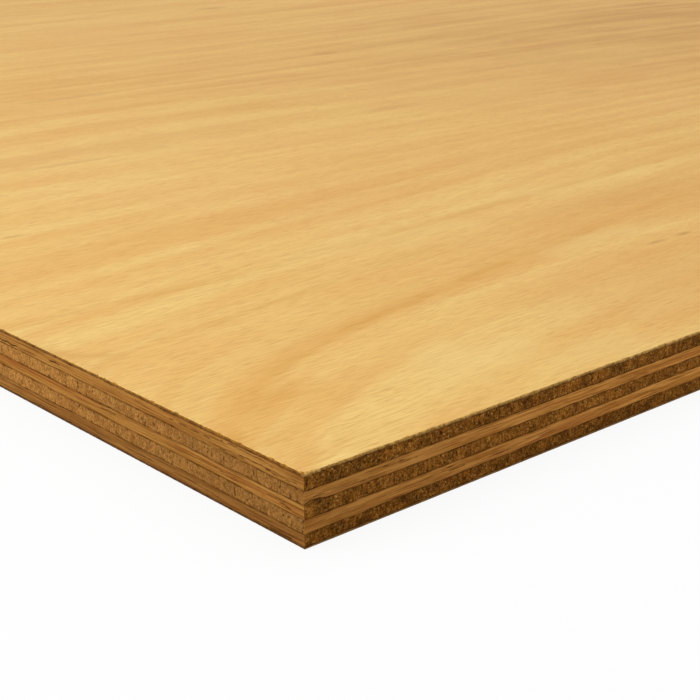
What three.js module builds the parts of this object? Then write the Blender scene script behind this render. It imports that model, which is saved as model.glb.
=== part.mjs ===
import * as THREE from "three";

// A plywood sheet lying flat, in millimetres. X runs along the grain of the face veneer,
// Y across it, and Z up. The origin is at the middle of the underside.

// The sheet, trimmed square.
const sheetLength = 2440;
const sheetWidth = 1220;

// Its layers. The outer veneers are what sanding leaves of a thin decorative peel.
const outerVeneer = 0.5;
const innerVeneer = 3.25;
const glueFilm = 0.125;

// Finishes. A ply shows long grain on the two edges it runs along, and end grain on the others.
const finishes = {
  faceWood: { color: "#e6be7c", roughness: 0.55, metalness: 0 },
  backWood: { color: "#c79a5f", roughness: 0.65, metalness: 0 },
  longGrain: { color: "#ab7a44", roughness: 0.8, metalness: 0 },
  crossGrain: { color: "#7d5729", roughness: 0.85, metalness: 0 },
  phenolicGlue: { color: "#3a2415", roughness: 0.6, metalness: 0 },
};

// The lay-up, from the back of the sheet to its face. The plies cross at right angles and
// mirror each other about the centre one, so that the sheet stays flat.
const plies = [
  { name: "back_veneer", thickness: outerVeneer, finish: finishes.backWood },
  { name: "lower_crossband", thickness: innerVeneer, finish: finishes.crossGrain },
  { name: "lower_long_ply", thickness: innerVeneer, finish: finishes.longGrain },
  { name: "centre_crossband", thickness: innerVeneer, finish: finishes.crossGrain },
  { name: "upper_long_ply", thickness: innerVeneer, finish: finishes.longGrain },
  { name: "upper_crossband", thickness: innerVeneer, finish: finishes.crossGrain },
  { name: "face_veneer", thickness: outerVeneer, finish: finishes.faceWood },
];

// One saw cut trims every layer, so all of them have the same outline.
function trimmedLayer(name, underside, top, finish) {
  const section = new THREE.Shape();
  section.moveTo(-sheetLength / 2, underside);
  section.lineTo(sheetLength / 2, underside);
  section.lineTo(sheetLength / 2, top);
  section.lineTo(-sheetLength / 2, top);
  section.closePath();

  const layer = new THREE.Mesh(
    new THREE.ExtrudeGeometry(section, { depth: sheetWidth, bevelEnabled: false }),
    new THREE.MeshStandardMaterial(finish),
  );
  layer.name = name;
  layer.rotation.x = Math.PI / 2; // stands the section up, so that it runs out along Y
  layer.position.y = sheetWidth / 2;
  return layer;
}

// Lays the plies up with a glue film in each joint. A layer starts at the very height
// where the one under it ends, so they meet face to face.
function laidUpSheet() {
  const sheet = new THREE.Group();
  let height = 0;

  function lay(name, thickness, finish) {
    const top = height + thickness;
    sheet.add(trimmedLayer(name, height, top, finish));
    height = top;
  }

  plies.forEach((ply, joint) => {
    if (joint > 0) lay(`glue_line_${joint}`, glueFilm, finishes.phenolicGlue);
    lay(ply.name, ply.thickness, ply.finish);
  });
  return sheet;
}

export default laidUpSheet();
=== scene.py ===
import math

import bmesh
import bpy
from mathutils import Matrix, Vector, noise


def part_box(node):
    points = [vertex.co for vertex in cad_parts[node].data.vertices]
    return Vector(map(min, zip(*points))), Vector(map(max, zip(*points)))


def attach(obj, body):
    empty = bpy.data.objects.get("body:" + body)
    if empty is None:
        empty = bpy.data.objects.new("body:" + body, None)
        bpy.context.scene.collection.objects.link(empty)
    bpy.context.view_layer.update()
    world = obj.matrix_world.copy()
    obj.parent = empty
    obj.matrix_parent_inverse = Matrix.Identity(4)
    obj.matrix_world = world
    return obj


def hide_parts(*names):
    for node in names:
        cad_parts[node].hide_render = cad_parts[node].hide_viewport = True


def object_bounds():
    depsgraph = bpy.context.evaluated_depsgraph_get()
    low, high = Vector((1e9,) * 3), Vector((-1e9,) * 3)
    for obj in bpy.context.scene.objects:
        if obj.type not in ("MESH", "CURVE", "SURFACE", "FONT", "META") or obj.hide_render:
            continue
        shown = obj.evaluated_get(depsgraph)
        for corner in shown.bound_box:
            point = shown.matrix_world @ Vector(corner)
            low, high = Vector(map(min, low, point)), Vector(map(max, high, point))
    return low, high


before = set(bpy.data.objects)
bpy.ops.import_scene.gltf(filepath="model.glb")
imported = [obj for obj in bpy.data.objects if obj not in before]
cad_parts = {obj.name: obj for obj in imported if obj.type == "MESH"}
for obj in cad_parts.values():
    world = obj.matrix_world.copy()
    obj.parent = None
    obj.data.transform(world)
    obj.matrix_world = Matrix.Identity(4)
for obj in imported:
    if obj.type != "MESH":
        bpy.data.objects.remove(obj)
cadLow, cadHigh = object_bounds()
boxes = {node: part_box(node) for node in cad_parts}
layers = sorted(boxes, key=lambda node: boxes[node][0].z)  # from the back veneer up
nearCorner = Vector((cadLow.x, cadLow.y, cadHigh.z))  # the corner that is looked at closely
mm = 0.001
perMetre = 1000     # mm in a metre, for the patterns that are laid out in mm
hair = 1e-7         # metres: a shorter step counts as none
sliver = 0.01       # the share of a layer's height that counts as none
print("frame loaded:", len(layers), "layers")


def linear(hexColour):
    channels = [int(hexColour[i:i + 2], 16) / 255 for i in (1, 3, 5)]
    return [c / 12.92 if c <= 0.04045 else ((c + 0.055) / 1.055) ** 2.4 for c in channels] + [1]


def addNode(tree, kind, inputs=None, **settings):
    # Among the inputs, a node stands for its first output.
    node = tree.nodes.new("ShaderNode" + kind)
    for name, value in settings.items():
        setattr(node, name, value)
    for key, value in (inputs or {}).items():
        if isinstance(value, bpy.types.Node):
            value = value.outputs[0]
        if isinstance(value, bpy.types.NodeSocket):
            tree.links.new(value, node.inputs[key])
        else:
            node.inputs[key].default_value = value
    return node


def newMaterial(name):
    material = bpy.data.materials.new(name)
    material.use_nodes = True
    material.node_tree.nodes.clear()
    return material, material.node_tree


def fallOff(tree, distance, reach):
    # Falls from 1 towards 0 over about that reach.
    share = addNode(tree, "Math", {0: distance, 1: -1 / reach}, operation="MULTIPLY")
    return addNode(tree, "Math", {0: share}, operation="EXPONENT")


def marked(tree, wood, place, form, tint, amount):
    # Lays marks of one tint over a wood colour. Noise gives them their form.
    size, detail, roughness, start, end = form
    cloud = addNode(tree, "TexNoise", {"Vector": place, "Scale": 1 / size, "Detail": detail,
                                       "Roughness": roughness})
    mask = addNode(tree, "MapRange", {"Value": cloud, "From Min": start, "From Max": end,
                                      "To Max": amount})
    return addNode(tree, "Mix", {0: mask, 6: wood, 7: linear(tint)}, data_type="RGBA").outputs[2]


def grainNoise(tree, place, shift, length, width, depth, detail, roughness=0.5):
    # Noise that is drawn out along the grain.
    drawn = addNode(tree, "Mapping", {"Vector": place, "Location": shift,
                                      "Scale": (1 / length, 1 / width, 1 / depth)})
    return addNode(tree, "TexNoise", {"Vector": drawn, "Scale": 1, "Detail": detail,
                                      "Roughness": roughness})


def softOval(tree, place, oval, stray, rim, inside, outside=0):
    # Fades from one value in the middle of an oval to another outside it. The rim is given in radii.
    x, y, length, width = oval
    disc = addNode(tree, "Mapping", {"Vector": place, "Scale": (2 / length, 2 / width, 0),
                                     "Location": (-2 * (x + stray[0]) / length,
                                                  -2 * (y + stray[1]) / width, 0)})
    away = addNode(tree, "VectorMath", {0: disc}, operation="LENGTH")
    return addNode(tree, "MapRange", {"Value": away.outputs["Value"], "From Min": rim[0],
                                      "From Max": rim[1], "To Min": outside, "To Max": inside},
                   interpolation_type="SMOOTHSTEP")


def smoothStep(value, start, end):
    t = min(max((value - start) / (end - start), 0), 1)
    return t * t * (3 - 2 * t)


def ripple(x, y, pattern):
    # Smooth noise between -1 and 1. Each pattern number gives another one.
    return noise.noise(Vector((x, y, pattern)))


# Camera, at a low angle to the near corner.
view = {
    "offset": (-182.12 * mm, -218.31 * mm, 128.73 * mm),   # of the camera from the near corner
    "turn": 41.83,      # degrees from +Y towards +X
    "tilt": 19.48,      # degrees down
    "lens": 74.69,      # mm
    "sensor": 36,       # mm
    "clip": (0.01, 200),
}
turn, tilt = math.radians(view["turn"]), math.radians(view["tilt"])
ahead = Vector((math.sin(turn) * math.cos(tilt), math.cos(turn) * math.cos(tilt), -math.sin(tilt)))
lens = bpy.data.cameras.new("camera")
lens.lens = view["lens"]
lens.sensor_width = view["sensor"]
lens.clip_start, lens.clip_end = view["clip"]
camera = bpy.data.objects.new("camera", lens)
camera.location = nearCorner + Vector(view["offset"])
camera.rotation_mode = "QUATERNION"
camera.rotation_quaternion = ahead.to_track_quat("-Z", "Y")
bpy.context.collection.objects.link(camera)
bpy.context.scene.camera = camera
bpy.context.scene.view_settings.view_transform = "Standard"
print("camera set")


# The shape of a layer: a closed slab with finely cut walls and rims.
mesh = {
    "closeReach": 155 * mm,     # how far from the near corner the edges are cut finely
    "finePitch": 0.25 * mm,
    "coarsePitch": 10 * mm,
    "rowHeight": 0.22 * mm,
    "outsideRings": (0.2 * mm, 0.5 * mm, 2.3 * mm),   # round the rim of a face that shows
    "hiddenRings": (3 * mm,),
    "widerRings": ((8 * mm, 5 * mm), (90 * mm, 115 * mm)),   # width and pitch, further in
}
rimDepth = sum(mesh["outsideRings"])


def slabRims(block, node):
    # The slab's box, its flat faces inset ring by ring and left open.
    low, high = boxes[node]
    size = Matrix.Diagonal((*(high - low), 1))
    bmesh.ops.create_cube(block, size=1, matrix=Matrix.Translation((low + high) / 2) @ size)
    for side, shows in ((-1, node == layers[0]), (1, node == layers[-1])):
        cap = [face for face in block.faces if face.normal.z * side > 0.9]
        for width in mesh["outsideRings"] if shows else mesh["hiddenRings"]:
            bmesh.ops.inset_region(block, faces=cap, thickness=width, use_even_offset=True)
        bmesh.ops.delete(block, geom=cap, context="FACES_ONLY")


def cutColumns(block, low, high):
    # Cuts across the rims and walls, close together on the two near sides up to closeReach.
    for axis in (0, 1):
        side = [face for face in block.faces if all(v.co[1 - axis] < 0 for v in face.verts)]
        parts = list({part for face in side for part in (face, *face.edges, *face.verts)})
        along = Vector((axis == 0, axis == 1, 0))
        place = low + along * mesh["closeReach"]
        bmesh.ops.bisect_plane(block, geom=parts, plane_co=place, plane_no=along)
    runs = {}
    for edge in block.edges:
        step = edge.verts[1].co - edge.verts[0].co
        ways = [axis for axis in (0, 1, 2) if abs(step[axis]) > hair]
        if len(ways) == 1 and ways[0] < 2:
            axis = ways[0]
            middle = (edge.verts[0].co + edge.verts[1].co) / 2
            near = middle[1 - axis] < 0
            close = near and middle[axis] < low[axis] + mesh["closeReach"]
            runs.setdefault((axis, near, close), []).append(edge)
    for (axis, near, close), crossed in runs.items():
        length = mesh["closeReach"] if close else (high - low)[axis] - mesh["closeReach"] * near
        columns = round(length / (mesh["finePitch"] if close else mesh["coarsePitch"]))
        bmesh.ops.subdivide_edges(block, edges=crossed, cuts=columns - 1, use_grid_fill=True)


def cutRows(block, height):
    rows = math.ceil(height / mesh["rowHeight"])
    upright = [e for e in block.edges if abs(e.verts[0].co.z - e.verts[1].co.z) > hair]
    if rows > 1:
        bmesh.ops.subdivide_edges(block, edges=upright, cuts=rows - 1, use_grid_fill=True)


def closeSlab(block, low, high):
    # Adds wider rings with fewer and fewer columns, and one flat face inside them.
    inset = rimDepth
    middle = (low.z + high.z) / 2
    for width, pitch in mesh["widerRings"]:
        rim = [edge for edge in block.edges if edge.is_boundary]
        grown = bmesh.ops.extrude_edge_only(block, edges=rim)["geom"]
        loop = [part for part in grown if isinstance(part, bmesh.types.BMVert)]
        shrink = [(side - inset - width) / (side - inset) for side in (high.x, high.y)]
        bmesh.ops.scale(block, vec=(*shrink, 1), verts=loop)
        kept, merged = {}, {}
        for vert in loop:
            place = (round(vert.co.x / pitch), round(vert.co.y / pitch), vert.co.z > middle)
            if kept.setdefault(place, vert) is not vert:
                merged[vert] = kept[place]
        bmesh.ops.weld_verts(block, targetmap=merged)
        inset += width
    rim = [edge for edge in block.edges if edge.is_boundary]
    bmesh.ops.holes_fill(block, edges=rim, sides=0)
    bmesh.ops.recalc_face_normals(block, faces=block.faces)


# Each layer's own flat map, through which its pattern can be baked. The walls lie in rows at the bottom,
# and the two flat faces above them.
layout = {
    "rowLength": 200 * mm,
    "rowReach": (0.03, 0.94),   # start and length of a row, as shares of the map
    "rowFill": (0.1, 0.8),      # and of a wall within its row
    # height of the rows, then start and size of the top and of the underside
    "ply": (0.78, (0.01, 0.79, 0.48, 0.2), (0.51, 0.79, 0.48, 0.2)),
    "back": (0.32, (0.01, 0.835, 0.3, 0.155), (0.01, 0.335, 0.98, 0.49)),
    "face": (0.32, (0.01, 0.335, 0.98, 0.49), (0.01, 0.835, 0.3, 0.155)),
}


def layOut(block, node, low, high):
    kind = {layers[0]: "back", layers[-1]: "face"}.get(node, "ply")
    rowsTop, *ends = layout[kind]
    flat = block.loops.layers.uv.new("OFBake")
    rows, placed = {}, []
    for face in block.faces:
        if abs(face.normal.z) > 0.5:
            left, bottom, width, height = ends[face.normal.z < 0]
            for loop in face.loops:
                across, up = [(loop.vert.co[i] - low[i]) / (high[i] - low[i]) for i in (0, 1)]
                loop[flat].uv = (left + width * across, bottom + height * up)
            continue
        middle = face.calc_center_median()   # of a small part of a wall
        axis = 0 if abs(face.normal.y) > 0.5 else 1
        near = middle[1 - axis] < 0
        run = middle[axis] - low[axis]
        start, length = 0, mesh["closeReach"]
        if not near or run > length:
            start, length = length * near, layout["rowLength"]
            start += length * math.floor((run - start) / length)
        row = rows.setdefault((axis, near, round(start, 4)), len(rows))
        placed.append((face, axis, start, length, row))
    rowHeight = rowsTop / len(rows)
    left, width = layout["rowReach"]
    bottom, height = layout["rowFill"]
    for face, axis, start, length, row in placed:
        for loop in face.loops:
            across = (loop.vert.co[axis] - low[axis] - start) / length
            up = (loop.vert.co.z - low.z) / (high.z - low.z)
            loop[flat].uv = (left + width * across, rowHeight * (row + bottom + height * up))


# Where the glue lines run. Each strays a little from its level, as plies vary in thickness.
seams = {
    # height over the level at the near corner, then at driftReach along the front and the left edge, in mm
    "drift": {1: (-0.02, 0.03, 0.03), 2: (-0.26, 0.22, 0.02), 3: (-0.20, 0.17, 0.30),
              4: (-0.24, 0.10, -0.14), 5: (-0.22, -0.14, 0.22), 6: (-0.24, -0.24, -0.04)},
    "driftReach": 150 * mm,
    "driftFade": (200 * mm, 500 * mm),  # from the near corner, where it dies out
    "slow": (75 * mm, 0.16 * mm),       # length and height of each wave
    "quick": (11 * mm, 0.14 * mm),
    "ragged": (1.7 * mm, 0.06 * mm),
    "fuzzy": (0.8 * mm, 0.16 * mm),     # under the face veneer only, where its fibres hang out
    "frayed": (14 * mm, 1.5),           # by the near corner they hang out so much more
    "outer": 0.45,                      # how much of the waves the two thin veneers take part in
    "film": (1.1, 2.2, 0.2),            # glue film thickness over the nominal one: mean, spread, least
    "filmPatch": 3 * mm,                # length of its thick and thin places
    # a torn place at joint 4: where it is along the front, half-length, depth and height
    "tearOut": (4.2 * mm, 2.2 * mm, 2 * mm, 0.34 * mm),
}


def driftOf(joint, x, y):
    atCorner, alongFront, alongLeft = seams["drift"][joint]
    front = smoothStep(x - nearCorner.x, 0, seams["driftReach"])
    left = smoothStep(y - nearCorner.y, 0, seams["driftReach"])
    faded = 1 - smoothStep(math.hypot(x - nearCorner.x, y - nearCorner.y), *seams["driftFade"])
    return (atCorner + (alongFront - atCorner) * front + (alongLeft - atCorner) * left) * faded * mm


def strayOf(joint, x, y):
    waves = 0
    for length, height in (seams["slow"], seams["quick"], seams["ragged"]):
        waves += height * ripple(x / length, y / length, joint * 9.7)
    if joint in (1, 6):
        waves *= seams["outer"]
    if joint == 6:
        length, height = seams["fuzzy"]
        reach, more = seams["frayed"]
        away = math.hypot(x - nearCorner.x, y - nearCorner.y)
        height *= 1 + more * math.exp(-away / reach)
        waves += height * ripple(x / length, y / length, 3.3)
    if joint == 4:
        place, reach, depth, rise = seams["tearOut"]
        away = math.hypot((x - nearCorner.x - place) / reach, (y - nearCorner.y) / depth)
        waves += rise * math.exp(-away ** 2)
    return driftOf(joint, x, y) + waves


def seamHeight(index, x, y):
    # The level of the underside of layer number index, or of the sheet's top after the last one.
    if index == 0:
        return cadLow.z
    if index == len(layers):
        return cadHigh.z
    joint = (index + 1) // 2
    low, high = [corner.z for corner in boxes[layers[2 * joint - 1]]]
    mean, spread, least = seams["film"]
    swell = mean + spread * ripple(x / seams["filmPatch"], y / seams["filmPatch"], joint * 3.1)
    half = (high - low) / 2 * max(swell, least)
    middle = (low + high) / 2 + strayOf(joint, x, y)
    return middle - half if index % 2 else middle + half


# The sawn edges. Depths are measured into the sheet.
edges = {
    "saw": (1.4 * mm, 8.4 * mm, 0.03 * mm),         # width, height and depth of the saw's marks
    "longGrain": (0.5 * mm, 9 * mm, 0.05 * mm),     # width, length and depth of a fibre bundle
    "endGrain": (0.55 * mm, 0.7 * mm, 0.12 * mm),
    "filmDepth": 0.05 * mm,
    "splitDepth": 0.25 * mm,
    "plySoak": (0.02 * mm, 0.3 * mm),       # from the glue line: how far resin darkens the wood
    "veneerSoak": (0.1 * mm, 0.6 * mm),
    "arris": 0.10 * mm,                     # the face veneer's broken edge: how far in
    "arrisDrop": (0.04 * mm, 0.15 * mm),    # how far down, and over which width
    "chip": (2.4 * mm, 0.30 * mm),          # length and depth of the chips in it
    "chipFine": 0.3,                        # length and share of the finer ones
    "chipLevels": (0.12, 0.5),              # of the noise, between which they deepen
    "chipSlope": 1.5,                       # the higher, the more they stay at its top
    "chipBrown": (0.2 * mm, 0.5 * mm),      # depths between which they turn to browner wood
    # torn fibres from the near corner along the front: reach, length, depth, and how many are torn
    "fray": (16 * mm, 0.9 * mm, 0.3 * mm, 0.4),
    "corner": (1.1 * mm, 0.75 * mm),        # the knocked corners of the face veneer, length and depth
    "level": (0.6 * mm, 0.95 * rimDepth),   # from the edge: over this width the layers become level
    "sharp": 42,                            # degrees, for the shading
}
# In the splits the dark is partly painted shade inside the crack; the streaks are darker wood.
# splits and dark streaks in the sawn edges, in mm: layer, edge, place along it from the near corner,
# depth below the top, half-length, half-width, whether it stands upright, and how dark it is
splits = (
    ("centre_crossband", "front", 27.0, 9.0, 1.3, 0.16, True, 0.7),
    ("centre_crossband", "front", 46.2, 8.9, 1.4, 0.20, True, 0.8),
    ("centre_crossband", "front", 50.6, 9.2, 1.2, 0.16, True, 0.7),
    ("centre_crossband", "front", 4.4, 7.8, 0.5, 0.30, True, 0.7),
    ("upper_crossband", "front", 1.2, 2.2, 1.3, 0.35, True, 0.7),
    ("upper_crossband", "front", 66.0, 2.4, 1.1, 0.30, True, 0.6),
    ("upper_crossband", "front", 71.0, 2.2, 1.3, 0.25, True, 0.6),
    ("upper_long_ply", "front", 2.4, 7.0, 2.6, 0.30, False, 0.75),
    ("upper_long_ply", "front", 4.2, 6.2, 1.8, 0.16, False, 0.6),
    ("upper_long_ply", "front", 17.0, 6.5, 5.0, 0.09, False, 0.6),
    ("upper_long_ply", "front", 26.5, 5.0, 8.0, 0.08, False, 0.7),
    ("upper_long_ply", "front", 31.0, 5.7, 3.5, 0.10, False, 0.5),
    ("lower_long_ply", "front", 44.0, 11.7, 3.0, 0.10, False, 0.7),
    ("lower_long_ply", "front", 47.5, 12.5, 2.6, 0.08, False, 0.7),
    ("lower_long_ply", "front", 63.0, 12.9, 4.0, 0.10, False, 0.6),
    ("upper_crossband", "left", 17.0, 2.7, 9.0, 0.10, False, 0.7),
    ("upper_crossband", "left", 12.0, 1.6, 5.0, 0.08, False, 0.6),
    ("upper_crossband", "left", 8.0, 3.1, 6.0, 0.12, False, 0.7),
    ("upper_crossband", "left", 21.0, 1.3, 9.0, 0.12, False, 0.6),
    ("upper_crossband", "left", 27.0, 3.3, 8.0, 0.14, False, 0.6),
    ("upper_crossband", "left", 41.0, 2.2, 9.0, 0.10, False, 0.7),
    ("upper_crossband", "left", 102.5, 2.4, 2.8, 0.22, False, 0.9),
    ("upper_crossband", "left", 127.0, 3.2, 6.0, 0.28, False, 0.9),
    ("centre_crossband", "left", 6.5, 9.6, 2.2, 0.20, False, 0.8),
    ("centre_crossband", "left", 9.5, 8.9, 4.0, 0.12, False, 0.6),
    ("centre_crossband", "left", 29.0, 9.0, 6.0, 0.10, False, 0.5),
    ("centre_crossband", "left", 77.0, 8.4, 4.0, 0.16, False, 0.8),
    ("lower_crossband", "left", 9.0, 16.9, 5.0, 0.14, False, 0.7),
    ("lower_crossband", "left", 35.0, 16.2, 5.0, 0.10, False, 0.6),
)
longestSplit = max(split[4] for split in splits)
# how far it strays in half-widths, its waves to a mm, and the half-widths between which it fades out
splitForm = {"waver": (0.6, 1.3), "blur": (0.4, 1.3)}


def splitAt(node, wall, x, y, z):
    # 1 in the middle of a split, 0 away from it.
    along = (y - nearCorner.y if wall == 0 else x - nearCorner.x) / mm
    below = (nearCorner.z - z) / mm
    deepest = 0
    for layer, edge, place, level, halfLength, halfWidth, upright, dark in splits:
        if layer != node or (edge == "left") != (wall == 0) or abs(along - place) > longestSplit:
            continue
        run, side = (below - level, along - place) if upright else (along - place, below - level)
        stray, waves = splitForm["waver"]
        side += stray * halfWidth * math.sin(run * waves + place)
        width = halfWidth * max(1 - (run / halfLength) ** 2, 0) ** 0.5
        full, faded = [share * width for share in splitForm["blur"]]
        if abs(side) < faded:
            deepest = max(deepest, dark * (1 - smoothStep(abs(side), full, faded)))
    return deepest


def wallDepth(node, index, grain, wall, x, y, z):
    run = y if wall == 0 else x
    if "glue" in node:
        return edges["filmDepth"]
    width, height, depth = edges["saw"]
    total = depth * (ripple(run / width, z / height, wall * 5.3) + 1)
    width, length, rough = edges["endGrain"] if (wall == 0) == (grain == "X") else edges["longGrain"]
    total += rough * (ripple(run / length, z / width, index * 2.9 + wall) + 1) / 2
    return total


def chipDepth(run, wall):
    # How far the face veneer's arris is broken away at this place along it.
    length, deepest = edges["chip"]
    finer = edges["chipFine"]
    broken = ripple(run / length, wall * 7.1, 4.2)
    fine = ripple(run / (length * finer), wall * 3.3, 1.7)
    reach, knocked = edges["corner"]
    fromCorner = min(abs(run - nearCorner[1 - wall]), abs(run + nearCorner[1 - wall]))
    total = edges["arris"] * (1 + fine)
    total += deepest * smoothStep(broken + finer * fine, *edges["chipLevels"])
    total += knocked * math.exp(-(fromCorner / reach) ** 2)
    if wall == 1:
        reach, length, deepest, torn = edges["fray"]
        fray = ripple(run / length, 8.8, 2.1) + torn
        total += deepest * max(fray, 0) * math.exp((nearCorner.x - run) / reach)
    return total


def buildLayer(index, node, grain, material):
    low, high = boxes[node]
    block = bmesh.new()
    slabRims(block, node)
    cutColumns(block, low, high)
    cutRows(block, (high - low).z)
    closeSlab(block, low, high)
    layOut(block, node, low, high)

    outer = node in (layers[0], layers[-1])
    soakFrom, soakTo = edges["veneerSoak"] if outer else edges["plySoak"]
    arrisDrop, arrisWidth = edges["arrisDrop"]
    torn = block.verts.layers.float.new("torn")
    soaked = block.verts.layers.float.new("soaked")
    for vert in block.verts:
        x, y, z = vert.co
        inX = min(x - low.x, high.x - x)
        inY = min(y - low.y, high.y - y)
        depth = min(inX, inY)
        if depth > rimDepth + 0.01 * mm:
            continue
        share = min(max((z - low.z) / (high.z - low.z), 0), 1)
        fade = 1 - smoothStep(depth, *edges["level"])
        bottom = low.z + (seamHeight(index, x, y) - low.z) * fade
        top = high.z + (seamHeight(index + 1, x, y) - high.z) * fade
        vert.co.z = bottom + (top - bottom) * share
        fromSeams = []
        if node != layers[0]:
            fromSeams.append(vert.co.z - bottom)
        if node != layers[-1]:
            fromSeams.append(top - vert.co.z)
        vert[soaked] = 1 - smoothStep(min(fromSeams), soakFrom, soakTo)
        for wall, inside, run in ((0, inX, y), (1, inY, x)):
            if inside > rimDepth:
                continue
            inward = 0
            if inside < hair:
                inward = wallDepth(node, index, grain, wall, x, y, z)
                # a split darkens the colour as well, partly as painted shade in its crack
                split = splitAt(node, wall, x, y, z)
                inward += edges["splitDepth"] * split
                vert[torn] = max(vert[torn], split)
            if node == layers[-1] and (inside > hair or share > sliver):
                chip = chipDepth(run, wall)
                inward += chip * (1 - inside / rimDepth) * share ** edges["chipSlope"]
                if inside < hair:
                    vert[torn] = max(vert[torn], smoothStep(chip, *edges["chipBrown"]))
                if share > 1 - sliver:
                    vert.co.z -= arrisDrop * (1 - smoothStep(inside, 0, arrisWidth))
            vert.co[wall] += math.copysign(inward, -vert.co[wall])

    for face in block.faces:
        face.smooth = True
    piece = bpy.data.objects.new(node + "_detail", bpy.data.meshes.new(node + "_detail"))
    block.to_mesh(piece.data)
    block.free()
    piece.data.set_sharp_from_angle(angle=math.radians(edges["sharp"]))
    piece.data.materials.append(material)
    bpy.context.collection.objects.link(piece)
    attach(piece, "root")
    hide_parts(node)
    print("layer", node, len(piece.data.vertices), "vertices")


# The core veneers are peeled tropical hardwood, sawn and not sanded. Where the saw ran along the fibres
# they show long streaks, and where it cut through them a rough dark speckle.
coreGrain = {
    "streakWidth": 0.6,         # mm
    "streakTones": (0.40, 0.60),    # levels of the noise at the dark and the light tone
    "grainSize": 0.48,          # mm, the speckle of cut fibres
    "grainTones": (0.56, 0.80),
    "rayWidth": 0.9,            # mm
    "rayShare": 0.35,
    "blotchSize": 4.5,          # mm
    "blotchTones": (0.35, 0.65),
    # marks: size in mm, detail and roughness of the noise, and the levels between which they fade in
    "flush": (1.6, 3, 0.6, 0.50, 0.64),         # redder bands
    "vessel": (0.38, 2, 0.6, 0.53, 0.61),
    "warm": (4.5, 3, 0.7, 0.5, 0.7),            # redder blotches
    "pore": (0.7, 2, 0.55, 0.60, 0.67),
    "fleck": (0.48, 2, 0.5, 0.60, 0.70),        # paler cut fibres
    "endOn": (0.45, 0.7),       # how squarely a wall has to cut the fibres to show end grain
    "soak": 0.35,               # how brown the resin makes it, next to the glue line
    "relief": 0.10,             # mm
    "corner": (10, 120),        # mm: over this length from the near corner the wood gets lighter
}
# each kind of wood: its tones, then the colour and strength of its marks
longPlyWood = {
    "streakLength": 18,     # mm
    "longLight": "#d4964b", "longDark": "#ae722e", "endLight": "#b58040", "endDark": "#875926",
    "flush": ("#a8622c", 0.45), "vessel": ("#7b4415", 0.6),
    "warm": ("#8a5420", 0.55), "pore": ("#4a2a0b", 0.85), "fleck": ("#c39a5c", 0.25),
    "blotch": 0.12, "cornerDarkening": 0.16,
}
crossPlyWood = {
    "streakLength": 32,     # mm
    "longLight": "#b8833f", "longDark": "#976429", "endLight": "#9e6522", "endDark": "#5c3507",
    "flush": ("#94501f", 0.6), "vessel": ("#6b3910", 0.7),
    "warm": ("#7d4313", 0.55), "pore": ("#2e1701", 0.8), "fleck": ("#c09a5e", 0.5),
    "blotch": 0.32, "cornerDarkening": 0.05,
}
centreCrossWood = dict(crossPlyWood, endLight="#a86c27", endDark="#633b0a", warm=("#854a17", 0.55))
lowerCrossWood = dict(crossPlyWood, longLight="#a97739", longDark="#825424", vessel=("#5a2f0c", 0.7),
                      flush=("#89521f", 0.6))
resinStain = "#50300c"
# the dark of streaks and splits, in the splits partly painted shade
splitShade = "#1d1004"


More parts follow.
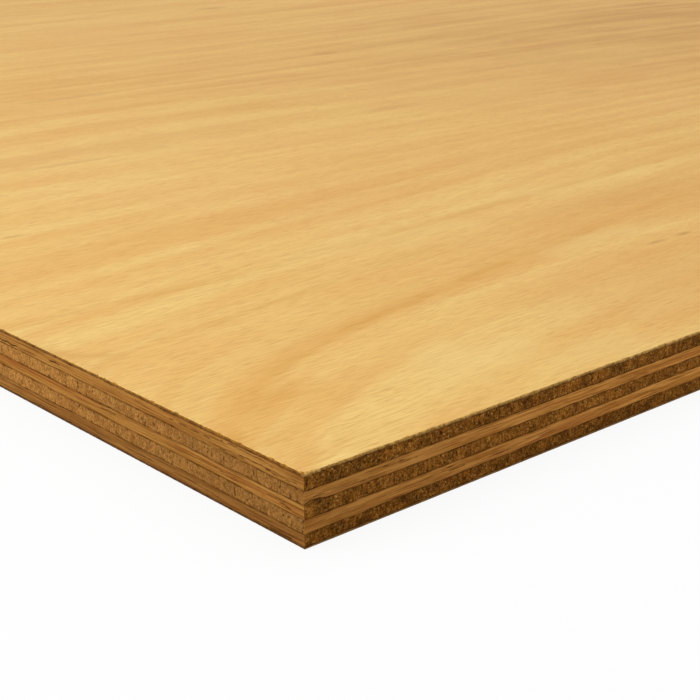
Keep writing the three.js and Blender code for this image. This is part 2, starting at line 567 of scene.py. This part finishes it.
def coreMaterial(name, grain, wood, seed):
    material, tree = newMaterial(name)
    c = coreGrain
    along = perMetre * c["streakWidth"] / wood["streakLength"]
    lengthwise = (along, perMetre, perMetre) if grain == "X" else (perMetre, along, perMetre)
    place = addNode(tree, "TexCoord")
    fibre = addNode(tree, "Mapping", {"Vector": place.outputs["Object"], "Location": (seed, seed * 1.7, 0),
                                      "Scale": lengthwise})
    upright = addNode(tree, "Mapping", {"Vector": place.outputs["Object"], "Location": (seed, seed, 0),
                                        "Rotation": (-0.3, 0.2, 0),
                                        "Scale": (perMetre, perMetre, perMetre / 2)})
    even = addNode(tree, "Mapping", {"Vector": place.outputs["Object"], "Location": (0, 0, seed),
                                     "Scale": (perMetre, perMetre, perMetre)})

    # wood cut along its fibres
    streak = addNode(tree, "TexNoise", {"Vector": fibre, "Scale": 1 / c["streakWidth"],
                                        "Detail": 4, "Roughness": 0.75, "Distortion": 0.3})
    dark, light = c["streakTones"]
    tone = addNode(tree, "MapRange", {"Value": streak, "From Min": dark, "From Max": light})
    longWood = addNode(tree, "Mix", {0: tone, 6: linear(wood["longDark"]),
                                     7: linear(wood["longLight"])}, data_type="RGBA").outputs[2]
    for kind in ("flush", "vessel"):
        longWood = marked(tree, longWood, fibre, c[kind], *wood[kind])

    # wood cut through its fibres
    speck = addNode(tree, "TexNoise", {"Vector": even, "Scale": 1 / c["grainSize"],
                                       "Detail": 3, "Roughness": 0.75})
    ray = addNode(tree, "TexNoise", {"Vector": upright, "Scale": 1 / c["rayWidth"],
                                     "Detail": 2, "Roughness": 0.6})
    both = addNode(tree, "Math", {0: ray, 1: c["rayShare"], 2: speck},
                   operation="MULTIPLY_ADD")
    dark, light = c["grainTones"]
    tone = addNode(tree, "MapRange", {"Value": both, "From Min": dark, "From Max": light})
    endWood = addNode(tree, "Mix", {0: tone, 6: linear(wood["endDark"]),
                                    7: linear(wood["endLight"])}, data_type="RGBA").outputs[2]
    for kind, spread in (("warm", upright), ("pore", upright), ("fleck", even)):
        endWood = marked(tree, endWood, spread, c[kind], *wood[kind])
    blotch = addNode(tree, "TexNoise", {"Vector": even, "Scale": 1 / c["blotchSize"],
                                        "Detail": 3, "Roughness": 0.65})
    dark, light = c["blotchTones"]
    shade = addNode(tree, "MapRange", {"Value": blotch, "From Min": dark, "From Max": light,
                                       "To Min": 1 - wood["blotch"], "To Max": 1 + wood["blotch"]})
    endWood = addNode(tree, "VectorMath", {0: endWood, "Scale": shade}, operation="SCALE")

    grainWay = (1, 0, 0) if grain == "X" else (0, 1, 0)
    facing = addNode(tree, "VectorMath", {0: place.outputs["Normal"], 1: grainWay},
                     operation="DOT_PRODUCT")
    facing = addNode(tree, "Math", {0: facing.outputs["Value"]}, operation="ABSOLUTE")
    start, end = c["endOn"]
    endGrain = addNode(tree, "MapRange", {"Value": facing, "From Min": start, "From Max": end})
    colour = addNode(tree, "Mix", {0: endGrain, 6: longWood, 7: endWood},
                     data_type="RGBA")

    # the wood is a little darker by the near corner and lighter further along
    corner = addNode(tree, "Mapping", {"Vector": place.outputs["Object"], "Scale": (perMetre, perMetre, 0),
                                       "Location": -perMetre * Vector((nearCorner.x, nearCorner.y, 0))})
    corner = addNode(tree, "VectorMath", {0: corner}, operation="LENGTH")
    start, end = c["corner"]
    cornerTone = addNode(tree, "MapRange", {"Value": corner.outputs["Value"], "From Min": start,
                                       "From Max": end, "To Min": 1 - wood["cornerDarkening"],
                                       "To Max": 1 + wood["cornerDarkening"]})
    colour = addNode(tree, "VectorMath", {0: colour.outputs[2], "Scale": cornerTone},
                     operation="SCALE")

    soaked = addNode(tree, "Attribute", attribute_name="soaked")
    stain = addNode(tree, "Math", {0: soaked.outputs["Fac"], 1: c["soak"]}, operation="MULTIPLY")
    colour = addNode(tree, "Mix", {0: stain, 6: colour, 7: linear(resinStain)},
                     data_type="RGBA")
    # splits and streaks turn dark, in the splits partly as painted shade
    torn = addNode(tree, "Attribute", attribute_name="torn")
    colour = addNode(tree, "Mix", {0: torn.outputs["Fac"], 6: colour.outputs[2], 7: linear(splitShade)},
                     data_type="RGBA")

    height = addNode(tree, "Mix", {0: endGrain, 2: streak, 3: speck})
    bump = addNode(tree, "Bump", {"Height": height, "Distance": c["relief"] * mm})
    shader = addNode(tree, "BsdfPrincipled", {"Base Color": colour.outputs[2], "Roughness": 0.85,
                                              "Specular IOR Level": 0.04, "Normal": bump})
    addNode(tree, "OutputMaterial", {"Surface": shader})
    return material


# The two outer veneers are rotary-cut hardwood, sanded to a satin. The peeling knife follows the growth
# rings, which gives wide soft bands that wander along the grain, feathered by the fibres.
faceFigure = {
    "bandWidth": 16,        # mm
    "bandLength": 330,      # mm
    "broadWidth": 110,      # mm, slow bands across the whole sheet
    "broadLength": 1375,    # mm
    "broadShare": 0.3,
    "mottle": 26,           # mm
    "mottleLength": 65,     # mm
    "mottleShare": 0.5,
    "tones": (0.58, 0.92),  # levels of all these at the dark and the light tone
    "sway": 60,             # mm
    "swayWaves": (1.8, 5.0),    # a metre, along and across the grain
    "feather": 5,           # mm
    "fibreWidth": 0.44,     # mm
    "fibreLength": 14,      # mm
    "poreWidth": 0.27,      # mm
    "poreLength": 5,        # mm
    # levels of the noise between which they fade in, and their strength
    "fibreMarks": (0.46, 0.68, 0.28),
    "poreMarks": (0.52, 0.66, 0.4),
    "relief": 0.006,        # mm
    "roam": 380,            # mm: how far the bands roam out on the sheet
    "roamWaves": (0.9, 2.2),
    "roamFrom": (350, 1300),    # mm along the grain, where that sets in
    # near the left end of the sheet, painted lighter there as painted light that falls off along the
    # sheet; well away from it; and in the browner streaks, partly painted shade
    "light": ("#f0cc7c", "#e3b765", "#cea054"),
    "dark": ("#e9b868", "#d8a555", "#bc8a3e"),
    "fibre": "#bf782c", "ringTan": "#d0943c", "pin": "#a45f1a",
    "alongLight": "#e4b35e", "alongDark": "#a06e24",     # the sawn edge along the grain
    "acrossLight": "#b67b26", "acrossDark": "#774a10",   # and across it
    "edgeMottle": 1.6,      # mm, on the sawn edge
    "edgeTones": (0.38, 0.62),
    "endOn": (0.1, 0.5),        # how squarely a wall has to cut the grain to take the second pair
    "sanded": (0.5, 0.8),       # how level a place has to be to show the sanded face
    "soak": 0.6,            # how brown the resin makes it, next to the glue line
    "slope": (100, 300),        # mm: by the near corner the bands climb so far, over about this length
    "slopeFade": (60, 300),     # mm: across the grain, where that ends
    "arch": (38, 60, 105),      # mm: and in an arch so high at its place, which ends at this height
    # growth rings that show as a tan line, in mm: ring height at the left edge, how far the line climbs
    # from there, over about which length, its width, and how strongly it shows
    "rings": ((24, 30, 200, 5, 0.78), (84, -12, 120, 4, 0.5), (131, -33, 80, 6, 0.55),
              (190, -25, 100, 5, 0.25), (45, 0, 100, 14, 0.4)),
    "ringCore": 0.15,           # share of the width that shows in full
    "ringBreaks": (0.36, 0.62),     # levels of the mottle between which the lines come up
    "ringThreads": (0.3, 0.6, 0.35),    # levels of the fibres, and what shows of a line between them
    "wander": (24, 12),         # mm: how far the soft patches stray along and across the grain
    "wanderWaves": 0.045,       # a mm
    "patchRim": (1.4, 0.1),
    # soft patches, in mm: place from the near corner, length and width, colour and strength
    "patches": ((24, 38, 30, 14, "#cf8f38", 0.28), (6, 26, 26, 18, "#cf8f38", 0.25),
                (8, 8, 20, 9, "#cf8f38", 0.3), (196, 35, 150, 56, "#cd8f45", 0.3),
                (135, 108, 70, 16, "#cf8f38", 0.2), (245, 117, 140, 22, "#c98d45", 0.22),
                (4, 99, 14, 34, "#c08030", 0.35), (76, 28, 46, 32, "#eccf84", 0.35),
                (112, 12, 34, 20, "#eccf84", 0.2), (200, 82, 70, 14, "#eccf84", 0.35),
                (255, 141, 130, 18, "#eccf84", 0.35), (150, 130, 90, 20, "#eccf84", 0.25),
                (150, 322, 260, 32, "#c98d45", 0.32)),
    # browner streaks, partly the wood's own and partly painted shade away from the left end, in mm: place,
    # length and width, and how brown they are
    "heartsAndShade": ((1200, 420, 2000, 400, 1), (2000, 950, 1700, 200, 0.6)),
    "heartAndShadeTones": (0.62, 0.88, 1.05, 0.7),   # two levels of the bands, and how brown each of them turns
    # pin marks, in mm: place from the near corner, length and width, and how dark they are
    "pins": ((211, 65.5, 12, 3.4, 0.36), (226, 66, 10, 3.6, 0.42), (430, 278, 34, 14, 0.2),
             (320, 312, 50, 11, 0.2), (130, 305, 60, 6, 0.2), (220, 445, 80, 10, 0.2),
             (421, 480, 26, 14, 0.24), (522, 732, 34, 16, 0.32), (52, 216, 14, 4, 0.28),
             (800, 522, 60, 18, 0.24)),
    "pinRim": (1.2, 0.2),
}
backFigure = dict(faceFigure, light=("#d4a45a", "#cf9e55", "#cea054"),
                  dark=("#b7803c", "#b07a38", "#bc8a3e"), fibre="#8f5c24", ringTan="#a87434",
                  alongLight="#a87c42", alongDark="#7d5626", acrossLight="#6b4518",
                  acrossDark="#432808", soak=0.2, heartsAndShade=(), patches=(), pins=())


def outerVeneerMaterial(name, figure, seed):
    material, tree = newMaterial(name)
    c = figure
    place = addNode(tree, "TexCoord")
    sheet = addNode(tree, "Mapping", {"Vector": place.outputs["Object"],
                                      "Scale": (perMetre, perMetre, perMetre),
                                      "Location": -perMetre * Vector((nearCorner.x, nearCorner.y, 0))})
    sides = addNode(tree, "SeparateXYZ", {0: sheet})   # mm from the near corner
    alongGrain, acrossGrain = sides.outputs["X"], sides.outputs["Y"]
    fibre = grainNoise(tree, sheet, (seed * 9, seed * 5, 0), c["fibreLength"], c["fibreWidth"],
                       c["fibreWidth"], 3, 0.6)
    pore = grainNoise(tree, sheet, (seed * 3, seed, 0), c["poreLength"], c["poreWidth"], c["poreWidth"], 2)

    # the height, in mm, of the growth ring that comes through at each place
    rise, reach = c["slope"]
    start, end = c["slopeFade"]
    slope = addNode(tree, "MapRange", {"Value": acrossGrain, "From Min": start, "From Max": end,
                                       "To Min": rise, "To Max": 0}, interpolation_type="SMOOTHSTEP")
    fall = fallOff(tree, alongGrain, reach)
    drop = addNode(tree, "Math", {0: fall, 1: -1}, operation="ADD")
    ring = addNode(tree, "Math", {0: drop, 1: slope, 2: acrossGrain},
                   operation="MULTIPLY_ADD")
    height, reach, ceiling = c["arch"]
    turn = addNode(tree, "Math", {0: alongGrain, 1: -1 / reach}, operation="MULTIPLY")
    bulge = addNode(tree, "Math", {0: fallOff(tree, alongGrain, reach), 1: turn},
                    operation="MULTIPLY")
    low = addNode(tree, "MapRange", {"Value": acrossGrain, "From Min": ceiling / 2, "From Max": ceiling,
                                     "To Min": height, "To Max": 0}, interpolation_type="SMOOTHSTEP")
    bulge = addNode(tree, "Math", {0: bulge, 1: low}, operation="MULTIPLY")
    ring = addNode(tree, "Math", {0: ring, 1: bulge}, operation="ADD")
    feather = addNode(tree, "Math", {0: fibre, 1: c["feather"], 2: -c["feather"] / 2},
                      operation="MULTIPLY_ADD")
    feathered = addNode(tree, "Math", {0: ring, 1: feather}, operation="ADD")
    swayPlace = addNode(tree, "Mapping", {"Vector": place.outputs["Object"], "Location": (seed, seed, 0),
                                          "Scale": (*c["swayWaves"], 1)})
    sway = addNode(tree, "TexNoise", {"Vector": swayPlace, "Scale": 1, "Detail": 3,
                                      "Roughness": 0.5})
    swayed = addNode(tree, "Math", {0: sway, 1: c["sway"], 2: -c["sway"] / 2},
                     operation="MULTIPLY_ADD")
    ring = addNode(tree, "Math", {0: feathered, 1: swayed}, operation="ADD")
    roamPlace = addNode(tree, "Mapping", {"Vector": place.outputs["Object"], "Location": (seed, 0, 0),
                                          "Scale": (*c["roamWaves"], 1)})
    roam = addNode(tree, "TexNoise", {"Vector": roamPlace, "Scale": 1, "Detail": 1})
    roam = addNode(tree, "Math", {0: roam, 1: -0.5}, operation="ADD")
    start, end = c["roamFrom"]
    further = addNode(tree, "MapRange", {"Value": alongGrain, "From Min": start, "From Max": end,
                                         "To Max": c["roam"]}, interpolation_type="SMOOTHSTEP")
    roam = addNode(tree, "Math", {0: roam, 1: further}, operation="MULTIPLY")
    ring = addNode(tree, "Math", {0: ring, 1: roam}, operation="ADD")

    # the bands
    ringPlace = addNode(tree, "CombineXYZ", {"X": alongGrain, "Y": ring, "Z": seed * 40})
    band = grainNoise(tree, ringPlace, (0, 0, 0), c["bandLength"], c["bandWidth"], 10, 3, 0.55)
    broad = grainNoise(tree, ringPlace, (0, 0, 0), c["broadLength"], c["broadWidth"], 10, 1)
    mottle = grainNoise(tree, sheet, (seed * 31, 0, 0), c["mottleLength"], c["mottle"], c["mottle"],
                        3, 0.6)
    figureTone = addNode(tree, "Math", {0: mottle, 1: c["mottleShare"], 2: band}, operation="MULTIPLY_ADD")
    figureTone = addNode(tree, "Math", {0: broad, 1: c["broadShare"], 2: figureTone},
                         operation="MULTIPLY_ADD")
    lift = c["broadShare"] / 2
    start, end = c["tones"]
    bandTone = addNode(tree, "MapRange", {"Value": figureTone, "From Min": start + lift,
                                          "From Max": end + lift})
    wander = addNode(tree, "TexNoise", {"Vector": sheet, "Scale": c["wanderWaves"], "Detail": 3})
    alongStray, acrossStray = c["wander"]
    strayed = addNode(tree, "VectorMath", {0: wander.outputs["Color"], 2: sheet,
                                           1: (2 * alongStray, 2 * acrossStray, 0)},
                      operation="MULTIPLY_ADD")
    spread = addNode(tree, "Math", {0: feather, 1: roam}, operation="ADD")
    spread = addNode(tree, "CombineXYZ", {"Y": spread})
    strayed = addNode(tree, "VectorMath", {0: strayed, 1: spread}, operation="ADD")
    # the browner streaks: partly the wood's own colour, partly painted shade where the light falls off
    # away from the left end
    brownAndShade = 0
    for *heartAndShade, strength in c["heartsAndShade"]:
        brownAndShade = softOval(tree, strayed, heartAndShade, c["wander"], c["patchRim"], strength, brownAndShade)
    start, end, most, least = c["heartAndShadeTones"]
    streaky = addNode(tree, "MapRange", {"Value": figureTone, "From Min": start + lift,
                                         "From Max": end + lift, "To Min": most, "To Max": least})
    brownAndShade = addNode(tree, "Math", {0: brownAndShade, 1: streaky}, operation="MULTIPLY")
    # by the left end the tones are painted lighter: painted light that falls off along the sheet
    tones = []
    for near, far, heartAndShade in (c["dark"], c["light"]):
        away = addNode(tree, "Mix", {0: brownAndShade, 6: linear(far), 7: linear(heartAndShade)},
                       data_type="RGBA")
        tones.append(addNode(tree, "Mix", {0: fall, 6: away.outputs[2], 7: linear(near)},
                             data_type="RGBA").outputs[2])
    colour = addNode(tree, "Mix", {0: bandTone, 6: tones[0], 7: tones[1]}, data_type="RGBA")
    for threads, (start, end, strength) in ((fibre, c["fibreMarks"]), (pore, c["poreMarks"])):
        mask = addNode(tree, "MapRange", {"Value": threads, "From Min": start, "From Max": end,
                                          "To Max": strength})
        colour = addNode(tree, "Mix", {0: mask, 6: colour.outputs[2], 7: linear(c["fibre"])},
                         data_type="RGBA")

    # soft patches, then the rings, which break up into fibres, and the pin marks
    for *patch, tint, strength in c["patches"]:
        mask = softOval(tree, strayed, patch, c["wander"], c["patchRim"], strength)
        colour = addNode(tree, "Mix", {0: mask, 6: colour.outputs[2], 7: linear(tint)}, data_type="RGBA")
    start, end = c["ringBreaks"]
    breaks = addNode(tree, "MapRange", {"Value": mottle, "From Min": start, "From Max": end})
    start, end, least = c["ringThreads"]
    threads = addNode(tree, "MapRange", {"Value": fibre, "From Min": start, "From Max": end,
                                         "To Min": least, "To Max": 1})
    breaks = addNode(tree, "Math", {0: breaks, 1: threads}, operation="MULTIPLY")
    for level, climb, reach, width, strength in c["rings"]:
        away = addNode(tree, "Math", {0: fallOff(tree, alongGrain, reach), 1: climb,
                                      2: feathered}, operation="MULTIPLY_ADD")
        away = addNode(tree, "Math", {0: away, 1: -level - climb}, operation="ADD")
        away = addNode(tree, "Math", {0: away}, operation="ABSOLUTE")
        patchy = addNode(tree, "Math", {0: breaks, 1: strength}, operation="MULTIPLY")
        line = addNode(tree, "MapRange", {"Value": away, "From Min": width,
                                          "From Max": c["ringCore"] * width, "To Max": patchy},
                       interpolation_type="SMOOTHSTEP")
        colour = addNode(tree, "Mix", {0: line, 6: colour.outputs[2], 7: linear(c["ringTan"])},
                         data_type="RGBA")
    for *pin, strength in c["pins"]:
        mask = softOval(tree, sheet, pin, (0, 0), c["pinRim"], strength)
        colour = addNode(tree, "Mix", {0: mask, 6: colour.outputs[2], 7: linear(c["pin"])},
                         data_type="RGBA")

    # the sawn edge and the broken arris are browner than the sanded face
    edgeMottle = addNode(tree, "TexNoise", {"Vector": sheet, "Scale": 1 / c["edgeMottle"], "Detail": 3,
                                            "Roughness": 0.7})
    start, end = c["edgeTones"]
    tone = addNode(tree, "MapRange", {"Value": edgeMottle, "From Min": start, "From Max": end})
    alongWood = addNode(tree, "Mix", {0: tone, 6: linear(c["alongDark"]),
                                      7: linear(c["alongLight"])}, data_type="RGBA")
    acrossWood = addNode(tree, "Mix", {0: tone, 6: linear(c["acrossDark"]),
                                       7: linear(c["acrossLight"])}, data_type="RGBA")
    normal = addNode(tree, "SeparateXYZ", {0: place.outputs["Normal"]})
    endwise = addNode(tree, "Math", {0: normal.outputs["X"]}, operation="ABSOLUTE")
    start, end = c["endOn"]
    endwise = addNode(tree, "MapRange", {"Value": endwise, "From Min": start, "From Max": end})
    edgeWood = addNode(tree, "Mix", {0: endwise, 6: alongWood.outputs[2],
                                     7: acrossWood.outputs[2]}, data_type="RGBA")
    soaked = addNode(tree, "Attribute", attribute_name="soaked")
    stain = addNode(tree, "Math", {0: soaked.outputs["Fac"], 1: c["soak"]}, operation="MULTIPLY")
    edgeWood = addNode(tree, "Mix", {0: stain, 6: edgeWood.outputs[2], 7: linear(resinStain)},
                       data_type="RGBA")
    level = addNode(tree, "Math", {0: normal.outputs["Z"]}, operation="ABSOLUTE")
    start, end = c["sanded"]
    sanded = addNode(tree, "MapRange", {"Value": level, "From Min": start, "From Max": end})
    torn = addNode(tree, "Attribute", attribute_name="torn")
    whole = addNode(tree, "Math", {0: 1, 1: torn.outputs["Fac"]}, operation="SUBTRACT")
    sanded = addNode(tree, "Math", {0: sanded, 1: whole}, operation="MULTIPLY")
    colour = addNode(tree, "Mix", {0: sanded, 6: edgeWood.outputs[2], 7: colour.outputs[2]},
                     data_type="RGBA")

    bump = addNode(tree, "Bump", {"Height": fibre, "Distance": c["relief"] * mm})
    shader = addNode(tree, "BsdfPrincipled", {"Base Color": colour.outputs[2], "Roughness": 0.55,
                                              "Specular IOR Level": 0.1, "Normal": bump})
    addNode(tree, "OutputMaterial", {"Surface": shader})
    return material


# Cured phenolic resin: a thin dark brown line, faintly glassy where the saw cut it.
resin = {"dark": "#3a1e06", "light": "#774a14", "patch": 1.8}


def resinMaterial():
    material, tree = newMaterial("cured phenolic resin")
    place = addNode(tree, "TexCoord")
    patch = addNode(tree, "TexNoise", {"Vector": place.outputs["Object"], "Scale": 1000 / resin["patch"],
                                       "Detail": 3})
    tone = addNode(tree, "MapRange", {"Value": patch, "From Min": 0.35, "From Max": 0.65})
    colour = addNode(tree, "Mix", {0: tone, 6: linear(resin["dark"]),
                                   7: linear(resin["light"])}, data_type="RGBA")
    shader = addNode(tree, "BsdfPrincipled", {"Base Color": colour.outputs[2], "Roughness": 0.6,
                                              "Specular IOR Level": 0.02})
    addNode(tree, "OutputMaterial", {"Surface": shader})
    return material


glue = resinMaterial()
for index, node in enumerate(layers):
    seed = 11 + index * 3.7     # another stretch of the pattern for each ply
    if node == "face_veneer":
        wood = outerVeneerMaterial("sanded face veneer", faceFigure, 3)
        buildLayer(index, node, "X", wood)
    elif node == "back_veneer":
        wood = outerVeneerMaterial("sanded back veneer", backFigure, 8)
        buildLayer(index, node, "X", wood)
    elif node.endswith("crossband"):
        woods = {"lower_crossband": lowerCrossWood, "centre_crossband": centreCrossWood}
        wood = coreMaterial(node + " hardwood", "Y", woods.get(node, crossPlyWood), seed)
        buildLayer(index, node, "Y", wood)
    elif node.endswith("long_ply"):
        wood = coreMaterial(node + " hardwood", "X", longPlyWood, seed)
        buildLayer(index, node, "X", wood)
    else:
        buildLayer(index, node, "X", glue)
print("layers built")


# The studio: a pale floor, an even white room and two soft lamps.
studio = {
    "floorSize": 60,            # metres from the middle to a side
    "floorGap": 0.1 * mm,
    "floorGlow": 0.9,           # share of plain white in what is seen of the floor
    "paint": "#f2f2f2",
    "roomLight": 0.38,
    "overhead": ((0.5, 0.1, 3.0), (0.5, 0.1, 0.0), (5.0, 4.0), 66),      # place, aim, size, watts
    "key": ((-2.1, -0.25, 0.7), (-1.22, -0.25, 0.0), (1.4, 1.2), 9.3),
}


def seenDirectly(tree):
    # 1 for what the camera sees, also by way of a reflection or through glass.
    rays = addNode(tree, "LightPath")
    seen = addNode(tree, "Math", {0: rays.outputs["Is Camera Ray"], 1: rays.outputs["Is Glossy Ray"]},
                   operation="MAXIMUM")
    seen = addNode(tree, "Math", {0: seen, 1: rays.outputs["Is Transmission Ray"]},
                   operation="MAXIMUM")
    return seen


floorShape = bmesh.new()
bmesh.ops.create_grid(floorShape, x_segments=1, y_segments=1, size=studio["floorSize"],
                      matrix=Matrix.Translation((0, 0, -studio["floorGap"])))
floor = bpy.data.objects.new("floor", bpy.data.meshes.new("floor"))
floorShape.to_mesh(floor.data)
floorShape.free()
bpy.context.collection.objects.link(floor)
paint, tree = newMaterial("matt white paint")
glow = addNode(tree, "Math", {0: seenDirectly(tree), 1: studio["floorGlow"]}, operation="MULTIPLY")
matt = addNode(tree, "BsdfDiffuse", {"Color": linear(studio["paint"])})
white = addNode(tree, "Emission", {"Color": (1, 1, 1, 1), "Strength": 1})
mixed = addNode(tree, "MixShader", {0: glow, 1: matt, 2: white})
addNode(tree, "OutputMaterial", {"Surface": mixed})
floor.data.materials.append(paint)

room = bpy.data.worlds.new("white room")
room.use_nodes = True
tree = room.node_tree
tree.nodes.clear()
lit = addNode(tree, "Background", {"Color": (1, 1, 1, 1), "Strength": studio["roomLight"]})
seen = addNode(tree, "Background", {"Color": (1, 1, 1, 1), "Strength": 1})
mixed = addNode(tree, "MixShader", {0: seenDirectly(tree), 1: lit, 2: seen})
addNode(tree, "OutputWorld", {"Surface": mixed})
bpy.context.scene.world = room

for name in ("overhead", "key"):
    place, aim, size, watts = studio[name]
    light = bpy.data.lights.new(name, "AREA")
    light.shape = "RECTANGLE"
    light.size, light.size_y = size
    light.energy = watts
    lamp = bpy.data.objects.new(name, light)
    lamp.location = place
    lamp.rotation_mode = "QUATERNION"
    lamp.rotation_quaternion = (Vector(aim) - Vector(place)).to_track_quat("-Z", "Y")
    bpy.context.collection.objects.link(lamp)
print("studio lit")
